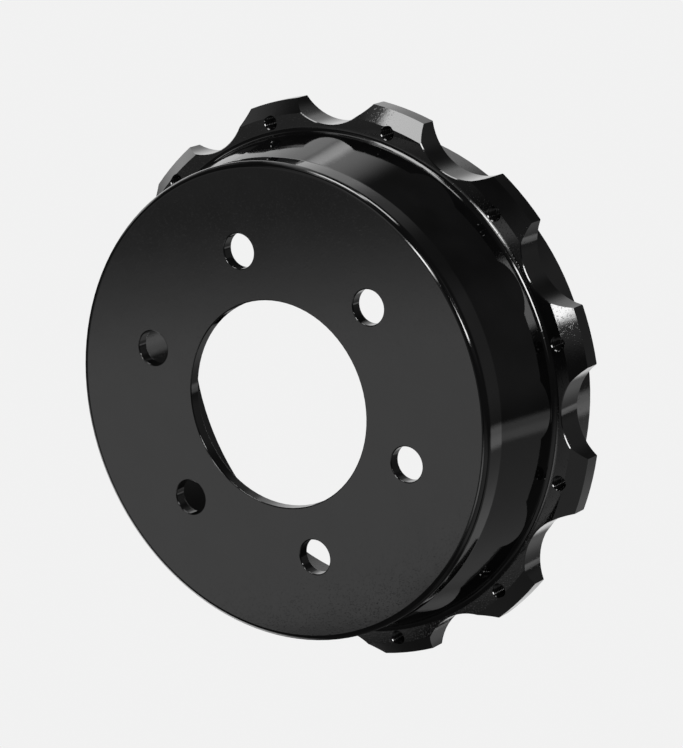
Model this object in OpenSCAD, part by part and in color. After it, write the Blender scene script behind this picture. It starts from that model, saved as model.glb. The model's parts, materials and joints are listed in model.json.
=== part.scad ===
// Rotor hat of a bolted two-piece brake disc, machined from one piece.
// It stands on its open rim with the wheel face up. Z is the hat's axis, and
// z = 0 is the rim of the pilot ring behind the flange. Sizes in millimetres.

/* [Rotor bolts] */
// Circle of the bolts that hold the rotor, which the flange and the wall are set out from
rotor_circle_d = 241.3; // [225:0.1:260]
// Outside diameter of the thread for one rotor bolt
rotor_thread_d = 6.35; // [5:0.05:7]
// Width of the countersink round each threaded hole
countersink_w = 0.3; // [0.1:0.05:0.6]

/* [Flange] */
// Thickness of the flange
flange_t = 14.3; // [10:0.1:20]
// Number of lobes, each with one rotor bolt
lobe_count = 12; // [8:1:12]
// Distance from the bolt circle out to the edge of the lobes
lobe_reach = 8.7; // [7:0.05:12]
// Size of the 45 degree chamfer on the front of each lobe
lobe_chamfer = 6.35; // [2:0.05:7]
// Radius of the scallop cut between two lobes
scallop_r = 26.15; // [20:0.05:30]
// Distance from the bolt circle in to the bottoms of the scallops
scallop_reach = 2.7; // [0:0.05:3]
// Width of the broken edge where a scallop leaves the flange's two faces
scallop_break = 0.35; // [0.1:0.05:0.6]

/* [Wall] */
// Height of the wheel face above the rotor's seat behind the flange
hat_depth = 60; // [45:0.5:80]
// Distance from the bolt circle in to the foot of the wall, without its fillet
wall_setback = 5.95; // [5.9:0.05:8]
// Fillet between the wall and the flange
foot_fillet_r = 2.9; // [1.5:0.1:3.2]
// How far the wall leans in between the flange and the band
wall_taper = 6; // [3:0.05:7]
// Height of the almost upright band under the wheel face
band_h = 11.4; // [6:0.1:14]
// Radius that blends the wall into the band
band_blend_r = 6; // [2:0.5:12]
// How far the band leans in between the wall and the wheel face
band_taper = 0.15; // [0:0.05:1]
// Distance from the corner of the wheel face in to the inside of the wall
shoulder_t = 4.05; // [2.5:0.05:8]
// Rounding of the inside corner at the front plate
inner_corner_r = 5; // [2:0.1:10]

/* [Wheel face] */
// Rounding of the wheel face's outer corner
face_edge_r = 2.9; // [1:0.1:4]
// Thickness of the front plate
plate_t = 5.6; // [4:0.1:9]
// Bore that the hub's nose passes through
hub_bore_d = 94; // [70:0.5:110]
// Circle of the wheel studs
lug_circle_d = 139.7; // [127:0.1:150]
// Number of wheel studs
lug_count = 6; // [4:1:8]
// Hole for one wheel stud
lug_hole_d = 15.9; // [12:0.1:18]
// Rounded edge at both ends of the bore and of the stud holes
hole_edge_r = 0.5; // [0.2:0.1:1]

/* [Pilot ring] */
// Distance from the bolt circle in to the ring that centres the rotor
pilot_setback = 9.45; // [9:0.05:12]
// Thickness of the ring at its open rim
pilot_t = 4.15; // [3:0.05:8]
// Height of the ring behind the rotor's seat
pilot_h = 24; // [8:0.1:30]
// Chamfer on both edges of the ring's rim
rim_chamfer = 0.6; // [0.3:0.1:1.5]

/* [Hidden] */
// Segments of a full circle, and of a rounded corner in the section
round_fn = 180;
corner_steps = 8;
// How far a cutter runs past the face that it opens
cut = 1;

// Diameters over the lobes, at the bottoms of the scallops and over the pilot ring
lobe_d = rotor_circle_d + 2 * lobe_reach;
scallop_root_d = rotor_circle_d - 2 * scallop_reach;
pilot_d = rotor_circle_d - 2 * pilot_setback;
// Diameters of the wall at its foot, under the band and at the wheel face
wall_foot_d = rotor_circle_d - 2 * wall_setback;
band_d = wall_foot_d - 2 * wall_taper;
face_d = band_d - 2 * band_taper;
// Inside diameters at the open rim and at the front plate
mouth_d = pilot_d - 2 * pilot_t;
drum_end_d = face_d - 2 * shoulder_t;
// Heights of the rotor's seat, the flange's front and the wheel face
seat_z = pilot_h;
flange_top_z = seat_z + flange_t;
face_z = seat_z + hat_depth;
// Underside of the front plate and the lower edge of the band
plate_under_z = face_z - plate_t;
band_z = face_z - band_h;
// Angles that the wall, the band and the inside lean inwards by
wall_lean = atan(wall_taper / (band_z - flange_top_z));
band_lean = atan(band_taper / band_h);
inside_lean = atan((mouth_d - drum_end_d) / 2 / plate_under_z);

// Points of an arc about [r, z], from angle a to angle b
function arc(r, z, radius, a, b) =
    [for (i = [0 : corner_steps])
        let (t = a + (b - a) * i / corner_steps)
        [r + radius * cos(t), z + radius * sin(t)]];

// Distance from a corner to where a rounding of this radius leaves its sides
function tangent_length(radius, corner_angle) = radius / tan(corner_angle / 2);

// Half section of the hat, from the inside of the rim round to the inside again
function hat_section() =
    let (
        bore_r = hub_bore_d / 2,
        lobe_r = lobe_d / 2,
        foot_t = tangent_length(foot_fillet_r, 90 + wall_lean),
        blend_t = tangent_length(band_blend_r, 180 - wall_lean + band_lean),
        edge_t = tangent_length(face_edge_r, 90 + band_lean),
        corner_t = tangent_length(inner_corner_r, 90 + inside_lean)
    )
    concat(
        // Rim of the pilot ring
        [[mouth_d / 2, rim_chamfer],
         [mouth_d / 2 + rim_chamfer, 0],
         [pilot_d / 2 - rim_chamfer, 0],
         [pilot_d / 2, rim_chamfer]],
        // Rotor's seat and the outside of the flange
        [[pilot_d / 2, seat_z],
         [lobe_r, seat_z],
         [lobe_r, flange_top_z - lobe_chamfer],
         [lobe_r - lobe_chamfer, flange_top_z]],
        // Fillet up into the wall
        arc(wall_foot_d / 2 + foot_t, flange_top_z + foot_fillet_r,
            foot_fillet_r, 270, 180 + wall_lean),
        // Wall, its blend into the band and the rounded corner of the wheel face
        arc(band_d / 2 - blend_t * sin(band_lean) + band_blend_r * cos(band_lean),
            band_z + blend_t * cos(band_lean) + band_blend_r * sin(band_lean),
            band_blend_r, 180 + wall_lean, 180 + band_lean),
        arc(face_d / 2 - edge_t, face_z - face_edge_r, face_edge_r, band_lean, 90),
        // Hub bore with both edges rounded
        arc(bore_r + hole_edge_r, face_z - hole_edge_r, hole_edge_r, 90, 180),
        arc(bore_r + hole_edge_r, plate_under_z + hole_edge_r, hole_edge_r, 180, 270),
        // Rounded corner between the plate and the inside of the wall
        arc(drum_end_d / 2 - corner_t, plate_under_z - inner_corner_r,
            inner_corner_r, 90, inside_lean)
    );

// The turned blank, before any hole or scallop is cut
module turned_blank() {
    rotate_extrude($fn = round_fn)
        polygon(hat_section());
}

// Cutter for the flare of a rounded hole edge, with the face at z = 0 above it
module edge_flare(hole_d) {
    rotate_extrude($fn = round_fn)
        polygon(concat(
            [[0, -hole_edge_r]],
            arc(hole_d / 2 + hole_edge_r, -hole_edge_r, hole_edge_r, 180, 90),
            [[hole_d / 2 + hole_edge_r, cut], [0, cut]]
        ));
}

// Plain stud hole through the front plate, rounded at both ends
module lug_hole() {
    translate([0, 0, plate_under_z - cut])
        cylinder(h = plate_t + 2 * cut, d = lug_hole_d, $fn = round_fn);
    translate([0, 0, face_z])
        edge_flare(lug_hole_d);
    translate([0, 0, plate_under_z])
        mirror([0, 0, 1])
            edge_flare(lug_hole_d);
}

// Threaded hole through a lobe, countersunk at both ends
module rotor_bolt_hole() {
    translate([0, 0, seat_z - cut])
        cylinder(h = flange_t + 2 * cut, d = rotor_thread_d, $fn = round_fn);
    translate([0, 0, flange_top_z - countersink_w])
        countersink();
    translate([0, 0, seat_z + countersink_w])
        mirror([0, 0, 1])
            countersink();
}

// 45 degree cone that opens upwards from the thread's outside diameter
module countersink() {
    cylinder(h = countersink_w + cut, d1 = rotor_thread_d,
        d2 = rotor_thread_d + 2 * (countersink_w + cut), $fn = round_fn);
}

// Cutter parallel to the axis that takes out the space between two lobes
module scallop() {
    centre_r = scallop_root_d / 2 + scallop_r;
    translate([centre_r, 0, seat_z - cut])
        cylinder(h = flange_t + 2 * cut, r = scallop_r, $fn = round_fn);
    translate([centre_r, 0, flange_top_z - scallop_break])
        scallop_flare();
    translate([centre_r, 0, seat_z + scallop_break])
        mirror([0, 0, 1])
            scallop_flare();
}

// Cone that breaks the scallop's edge on one face of the flange
module scallop_flare() {
    cylinder(h = scallop_break + cut, r1 = scallop_r,
        r2 = scallop_r + scallop_break + cut, $fn = round_fn);
}

// Repeats a cutter round the axis, the first one on the X axis
module around(count, radius = 0, first = 0) {
    for (i = [0 : count - 1])
        rotate([0, 0, first + i * 360 / count])
            translate([radius, 0, 0])
                children();
}

// The whole hat: one machined piece in gloss black
module rotor_hat() {
    color([0.03, 0.03, 0.03])
        difference() {
            turned_blank();
            around(lug_count, lug_circle_d / 2)
                lug_hole();
            around(lobe_count, rotor_circle_d / 2)
                rotor_bolt_hole();
            around(lobe_count, first = 180 / lobe_count)
                scallop();
        }
}

rotor_hat();
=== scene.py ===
import json
import math

import bmesh
import bpy
from mathutils import Matrix, Vector


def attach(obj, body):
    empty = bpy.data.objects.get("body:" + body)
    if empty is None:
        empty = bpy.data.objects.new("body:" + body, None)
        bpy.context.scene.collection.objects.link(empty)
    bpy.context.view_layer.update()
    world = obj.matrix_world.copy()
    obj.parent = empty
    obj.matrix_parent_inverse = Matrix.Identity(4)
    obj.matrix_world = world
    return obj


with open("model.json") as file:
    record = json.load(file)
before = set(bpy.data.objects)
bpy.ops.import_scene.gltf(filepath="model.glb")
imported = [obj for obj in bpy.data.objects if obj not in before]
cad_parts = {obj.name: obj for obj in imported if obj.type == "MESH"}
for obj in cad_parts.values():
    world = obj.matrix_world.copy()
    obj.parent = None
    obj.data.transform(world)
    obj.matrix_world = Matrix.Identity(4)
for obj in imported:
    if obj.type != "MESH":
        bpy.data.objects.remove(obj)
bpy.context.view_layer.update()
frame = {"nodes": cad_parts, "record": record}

mounts = {mount["name"]: mount for mount in frame["record"]["mounts"]}


# The hat: one iron casting, turned all over, with drilled stud holes, milled scallops
# and twelve tapped lobes. It is dipped in black paint and baked. The thin glossy coat is
# a little wavy and lies over fine nibs, a few on the turned hat and many on the flange.
seat_z = mounts["rotor_bolts"]["pos_m"][2]
flange_t = 0.0143
foot_fillet_h = 0.0032
coat_black = (0.0022, 0.0022, 0.0023, 1.0)
coat_black_deep = (0.0010, 0.0010, 0.0010, 1.0)
coat_index = 1.5
shade_scale, finish_scale = 60.0, 90.0
coat_roughness = (0.030, 0.060)
peel_scale, peel_height = 240.0, 0.0000022
nib_scale, nib_height = 1150.0, 0.000014
nib_low, nib_high = 0.57, 0.83
nibs_on_hat = 0.35


def add_node(tree, kind, **settings):
    """Makes a shader node and sets its properties."""
    node = tree.nodes.new(kind)
    for name, value in settings.items():
        setattr(node, name, value)
    return node


def noise(tree, place, scale, detail=2.0, roughness=0.5):
    """Value of a noise of that scale, in bumps a metre, at a place on the piece."""
    node = add_node(tree, "ShaderNodeTexNoise")
    node.inputs["Scale"].default_value = scale
    node.inputs["Detail"].default_value = detail
    node.inputs["Roughness"].default_value = roughness
    tree.links.new(place, node.inputs["Vector"])
    return node.outputs["Fac"]


def spread(tree, value, low, high, smooth=False, from_low=0.3, from_high=0.7):
    """Maps a value from one range onto another and holds it within that."""
    node = add_node(tree, "ShaderNodeMapRange")
    if smooth:
        node.interpolation_type = "SMOOTHSTEP"
    limits = {"From Min": from_low, "From Max": from_high, "To Min": low, "To Max": high}
    for name, number in limits.items():
        node.inputs[name].default_value = number
    tree.links.new(value, node.inputs["Value"])
    return node.outputs["Result"]


def arithmetic(tree, operation, *values):
    """One Math node: numbers are typed in, sockets are linked."""
    node = add_node(tree, "ShaderNodeMath", operation=operation)
    for socket, value in zip(node.inputs, values):
        if isinstance(value, (int, float)):
            socket.default_value = value
        else:
            tree.links.new(value, socket)
    return node.outputs["Value"]


def relief(tree, height, depth, normal=None):
    """Normal that a height between 0 and 1 gives at that depth in metres."""
    node = add_node(tree, "ShaderNodeBump")
    node.inputs["Strength"].default_value = 1.0
    node.inputs["Distance"].default_value = depth
    tree.links.new(height, node.inputs["Height"])
    if normal is not None:
        tree.links.new(normal, node.inputs["Normal"])
    return node.outputs["Normal"]


def gloss_coat(name):
    """Baked black coat: near black under a clear, slightly wavy skin."""
    material = bpy.data.materials.new(name)
    material.use_nodes = True
    tree = material.node_tree
    skin = tree.nodes["Principled BSDF"]
    place = add_node(tree, "ShaderNodeTexCoord").outputs["Object"]

    shade = add_node(tree, "ShaderNodeMix", data_type="RGBA")
    shade.inputs["A"].default_value = coat_black_deep
    shade.inputs["B"].default_value = coat_black
    tree.links.new(spread(tree, noise(tree, place, shade_scale), 0.0, 1.0), shade.inputs["Factor"])
    tree.links.new(shade.outputs["Result"], skin.inputs["Base Color"])
    finish = noise(tree, place, finish_scale, detail=4.0)
    tree.links.new(spread(tree, finish, *coat_roughness), skin.inputs["Roughness"])
    skin.inputs["IOR"].default_value = coat_index

    peel = relief(tree, noise(tree, place, peel_scale, detail=1.0), peel_height)
    nibs = noise(tree, place, nib_scale, roughness=0.6)
    nibs = spread(tree, nibs, 0.0, 1.0, from_low=nib_low, from_high=nib_high)
    height = add_node(tree, "ShaderNodeSeparateXYZ")
    tree.links.new(place, height.inputs["Vector"])
    flange_front = seat_z + flange_t
    share = spread(
        tree, height.outputs["Z"], 1.0, nibs_on_hat,
        from_low=flange_front, from_high=flange_front + foot_fillet_h)
    nibs = relief(tree, arithmetic(tree, "MULTIPLY", nibs, share), nib_height, peel)
    tree.links.new(nibs, skin.inputs["Normal"])
    return material


hat = frame["nodes"]["rotor_hat"]
black_coat = gloss_coat("black_coat")
for slot in hat.material_slots:
    slot.material = black_coat


# The threads of the twelve rotor bolt holes: coarse quarter inch threads cut with a tap
# straight through the lobes. Each is one ridge wound up the hole's wall, under the coat.
bolt_circle = mounts["rotor_bolts"]["dims"]
bolt_circle_r = bolt_circle["pcd_mm"] / 2000
thread_r = bolt_circle["hole_r_mm"] / 1000
thread_pitch = 0.00127
thread_depth = 0.54 * thread_pitch
ridge_sink = 0.00012
ridge_foot, ridge_crest = 0.44 * thread_pitch, 0.11 * thread_pitch
thread_clear = 0.0006
steps_a_turn = 28
sharp_edge = math.radians(40)
thread_low = seat_z + thread_clear + ridge_foot
thread_turns = (flange_t - 2 * (thread_clear + ridge_foot)) / thread_pitch


def wound_ridge(mesh, centre):
    """Adds one ridge to the mesh, spun round the hole's axis while it climbs a pitch a turn."""
    outer = centre.x + thread_r + ridge_sink
    inner = centre.x + thread_r - thread_depth
    section = [(outer, -ridge_foot), (inner, -ridge_crest), (inner, ridge_crest), (outer, ridge_foot)]
    corners = [mesh.verts.new((x, centre.y, thread_low + z)) for x, z in section]
    start = mesh.faces.new(corners)
    steps = round(thread_turns * steps_a_turn)
    bmesh.ops.spin(
        mesh, geom=[start, *start.edges, *start.verts], cent=centre, axis=(0, 0, 1),
        dvec=(0, 0, thread_pitch / steps_a_turn), angle=2 * math.pi * steps / steps_a_turn,
        steps=steps, use_merge=False, use_duplicate=False,
    )


thread_mesh = bmesh.new()
for index in range(bolt_circle["count"]):
    angle = 2 * math.pi * index / bolt_circle["count"]
    centre = Vector((bolt_circle_r * math.cos(angle), bolt_circle_r * math.sin(angle), 0))
    wound_ridge(thread_mesh, centre)
bmesh.ops.recalc_face_normals(thread_mesh, faces=thread_mesh.faces)
threads = bpy.data.objects.new("rotor_bolt_threads", bpy.data.meshes.new("rotor_bolt_threads"))
thread_mesh.to_mesh(threads.data)
thread_mesh.free()
bpy.context.scene.collection.objects.link(threads)
threads.data.materials.append(black_coat)
threads.data.shade_smooth()
threads.data.set_sharp_from_angle(angle=sharp_edge)
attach(threads, "root")


# The photographer's place: where the camera stands round the hat, as angles about its
# axis, and how far it is turned on its own axis. The studio's own axes follow from it.
view_azimuth = math.radians(-80.77)
view_elevation = math.radians(53.41)
view_roll = math.radians(-111.31)
view_distance = 1.4425
view_far = 40.0
view_shift = (-0.00483, 0.00066)
focal_pixels = 3161.1
frame_height = 748
sensor = 36.0

studio_back = Vector((
    math.cos(view_elevation) * math.cos(view_azimuth),
    math.cos(view_elevation) * math.sin(view_azimuth),
    math.sin(view_elevation),
))
level_right = Vector((0, 0, 1)).cross(studio_back).normalized()
level_up = studio_back.cross(level_right)
studio_right = math.cos(view_roll) * level_right + math.sin(view_roll) * level_up
studio_up = math.cos(view_roll) * level_up - math.sin(view_roll) * level_right

camera = bpy.data.objects.new("camera", bpy.data.cameras.new("camera"))
camera.data.sensor_width = sensor
camera.data.lens = sensor * focal_pixels / frame_height
camera.data.clip_end = view_far
studio_axes = Matrix((studio_right, studio_up, studio_back)).transposed()
camera.rotation_mode = "QUATERNION"
camera.rotation_quaternion = studio_axes.to_quaternion()
camera.location = (
    Vector((0, 0, seat_z)) + view_distance * studio_back
    + view_shift[0] * studio_right + view_shift[1] * studio_up
)
bpy.context.scene.collection.objects.link(camera)
bpy.context.scene.camera = camera


# The floor and the cove round it: plain pale paper, lit evenly on its own so that it
# stays clear of shadow. Neither is seen in the coat, which mirrors only the lights.
paper_light = 0.883
floor_reach = 6.0
cove_radius = 8.0
cove_rings = 16


def paper(name):
    """Evenly lit pale paper."""
    material = bpy.data.materials.new(name)
    material.use_nodes = True
    tree = material.node_tree
    tree.nodes.remove(tree.nodes["Principled BSDF"])
    glow = add_node(tree, "ShaderNodeEmission")
    glow.inputs["Color"].default_value = (1.0, 1.0, 1.0, 1.0)
    glow.inputs["Strength"].default_value = paper_light
    tree.links.new(glow.outputs["Emission"], tree.nodes["Material Output"].inputs["Surface"])
    return material


def stage_piece(name, mesh, material):
    """Puts a stage piece in the scene, seen by the camera alone."""
    piece = bpy.data.objects.new(name, bpy.data.meshes.new(name))
    mesh.to_mesh(piece.data)
    mesh.free()
    piece.data.materials.append(material)
    for ray in ("diffuse", "glossy", "transmission", "volume_scatter", "shadow"):
        setattr(piece, "visible_" + ray, False)
    bpy.context.scene.collection.objects.link(piece)


pale_paper = paper("pale_paper")
floor = bmesh.new()
bmesh.ops.create_grid(floor, x_segments=1, y_segments=1, size=floor_reach)
stage_piece("floor", floor, pale_paper)
cove = bmesh.new()
bmesh.ops.create_uvsphere(cove, u_segments=2 * cove_rings, v_segments=cove_rings, radius=cove_radius)
bmesh.ops.reverse_faces(cove, faces=cove.faces)
stage_piece("cove", cove, pale_paper)


# The studio's light: soft boxes, pale boards and a few dark cards round the hat, in a dim
# room. Each is placed by its direction from the hat, in degrees to the right of the camera
# and up, with half its width and height, how far its sides and ends fade, and its light.
room_light = 0.05
soft_boxes = {
    "backdrop": dict(at=(170, 26), half=(23, 21), fade=(10, 2), light=0.78),
    "backdrop_glow": dict(at=(178, 27), half=(10, 10), fade=(8, 6), light=0.45),
    "backdrop_left": dict(at=(-145, 25), half=(23, 8), fade=(4, 6), light=1.5),
    "backdrop_foot": dict(at=(163.7, -12.6), half=(9, 5), fade=(6, 1.3), turn=28, light=1.0),
    "backdrop_gap": dict(at=(167, -19.2), half=(6, 1.7), fade=(2, 0.6), turn=28, light=-0.25),
    "left_board": dict(at=(-125, 40), half=(14, 9), fade=(14, 6), light=0.42),
    "far_wall": dict(at=(-136, -30), half=(20, 18), fade=(8, 8), light=3.0),
    "roof": dict(at=(-120, 70), half=(50, 8), fade=(20, 6), light=1.2),
    "roof_back": dict(at=(120, 82), half=(60, 6), fade=(20, 4), light=0.3),
    "ceiling": dict(at=(-174, 56), half=(24, 7), fade=(13, 3), light=0.9),
    "ceiling_lamp": dict(at=(179, 50), half=(5, 2.5), fade=(2, 1.5), light=1.1),
    "ceiling_side": dict(at=(145, 49), half=(14, 4), fade=(10, 3), light=0.17),
    "right_board": dict(at=(115, 14), half=(25, 18), fade=(12, 7), light=0.1),
    "table": dict(at=(118, -27), half=(32, 18), fade=(10, 1), turn=13, light=0.175),
    "table_back": dict(at=(148, -17), half=(20, 9), fade=(9, 4), light=0.2),
    "table_far": dict(at=(162, -31), half=(12, 5), fade=(6, 3), light=0.07),
    "table_strip": dict(at=(110, -10.5), half=(20, 2.8), fade=(4, 1), turn=13, light=0.42),
    "table_strip_end": dict(at=(119, -8.5), half=(7, 2.8), fade=(6, 1), turn=13, light=0.27),
    "table_front": dict(at=(24, -49), half=(40, 19), fade=(12, 8), light=0.36),
    "table_near": dict(at=(90, -84), half=(90, 10), fade=(10, 4), light=0.11),
    "key_top": dict(at=(-36, 57), half=(20, 8), fade=(3, 3), light=10.2),
    "key_top_side": dict(at=(-6, 72), half=(60, 8), fade=(10, 2), light=10.0),
    "key_top_glow": dict(at=(-42, 57), half=(24, 13), fade=(8, 6), light=0.6),
    "key_right": dict(at=(14, 10), half=(8.5, 10), fade=(1.2, 1.5), light=24.0),
    "key_right_glow": dict(at=(18, 14), half=(14, 18), fade=(6, 6), light=0.12),
    "key_right_foot": dict(at=(21, -3), half=(6, 5), fade=(4, 4), light=0.3),
    "key_left": dict(at=(-42.3, -3.2), half=(3.4, 2.6), fade=(2, 1.6), turn=34, light=23.0),
    "key_left_side": dict(at=(-31, 4), half=(9, 2.4), fade=(3, 1.6), turn=34, light=4.6),
    "front_left": dict(at=(-54, 2), half=(14, 8), fade=(4, 4), light=0.65),
    "front_side": dict(at=(-28, -1), half=(6, 5), fade=(3, 3), light=1.0),
    "front_low": dict(at=(-43, -35), half=(17, 5), fade=(5, 3), light=1.7),
    "front_low_end": dict(at=(-25, -27), half=(4, 4), fade=(3, 2), light=1.3),
    "face_board": dict(at=(-73.2, -23.4), half=(9, 5), fade=(1.5, 1.5), turn=-9, light=0.78),
    "face_board_top": dict(at=(-73, -13), half=(16, 16), fade=(3, 3), light=0.2),
    "face_board_high": dict(at=(-72, -6), half=(12, 10), fade=(4, 1.2), light=0.1),
    "face_card": dict(at=(-75.5, -26.5), half=(4.1, 2), fade=(0.4, 0.4), turn=-9, light=-0.72),
    "face_card_low": dict(at=(-73.5, -27), half=(8, 2), fade=(1, 0.1), light=-0.22),
    "face_card_side": dict(at=(-66.6, -25.4), half=(4.9, 1.9), fade=(0.4, 0.3), turn=12, light=-0.65),
}


def along(tree, direction, axis):
    """How far a direction runs along one of the studio's axes."""
    node = add_node(tree, "ShaderNodeVectorMath", operation="DOT_PRODUCT")
    tree.links.new(direction, node.inputs[0])
    node.inputs[1].default_value = axis
    return node.outputs["Value"]


def within(tree, x, y, turn, half, fade):
    """1 up to half a width along the line that is turned by that angle, fading to 0 past it."""
    reach = arithmetic(tree, "MULTIPLY", x, math.cos(turn))
    reach = arithmetic(tree, "MULTIPLY_ADD", y, math.sin(turn), reach)
    reach = arithmetic(tree, "ABSOLUTE", reach)
    return spread(tree, reach, 1.0, 0.0, smooth=True, from_low=half - fade, from_high=half + fade)


world = bpy.data.worlds.new("studio")
bpy.context.scene.world = world
world.use_nodes = True
sky = world.node_tree
direction = add_node(sky, "ShaderNodeTexCoord").outputs["Generated"]
rise = arithmetic(sky, "DEGREES", arithmetic(sky, "ARCSINE", along(sky, direction, studio_up)))
side = arithmetic(sky, "DEGREES", arithmetic(
    sky, "ARCTAN2", along(sky, direction, studio_right), along(sky, direction, studio_back)))
light = room_light
for box in soft_boxes.values():
    x = arithmetic(sky, "WRAP", arithmetic(sky, "SUBTRACT", side, box["at"][0]), 180.0, -180.0)
    y = arithmetic(sky, "SUBTRACT", rise, box["at"][1])
    turn = math.radians(box.get("turn", 0))
    shape = arithmetic(
        sky, "MULTIPLY", within(sky, x, y, turn, box["half"][0], box["fade"][0]),
        within(sky, x, y, turn + math.pi / 2, box["half"][1], box["fade"][1]))
    light = arithmetic(sky, "MULTIPLY_ADD", shape, box["light"], light)
light = arithmetic(sky, "MAXIMUM", light, 0.0)
room = sky.nodes["Background"]
room.inputs["Color"].default_value = (1.0, 1.0, 1.0, 1.0)
sky.links.new(light, room.inputs["Strength"])
bpy.context.scene.view_settings.view_transform = "Standard"
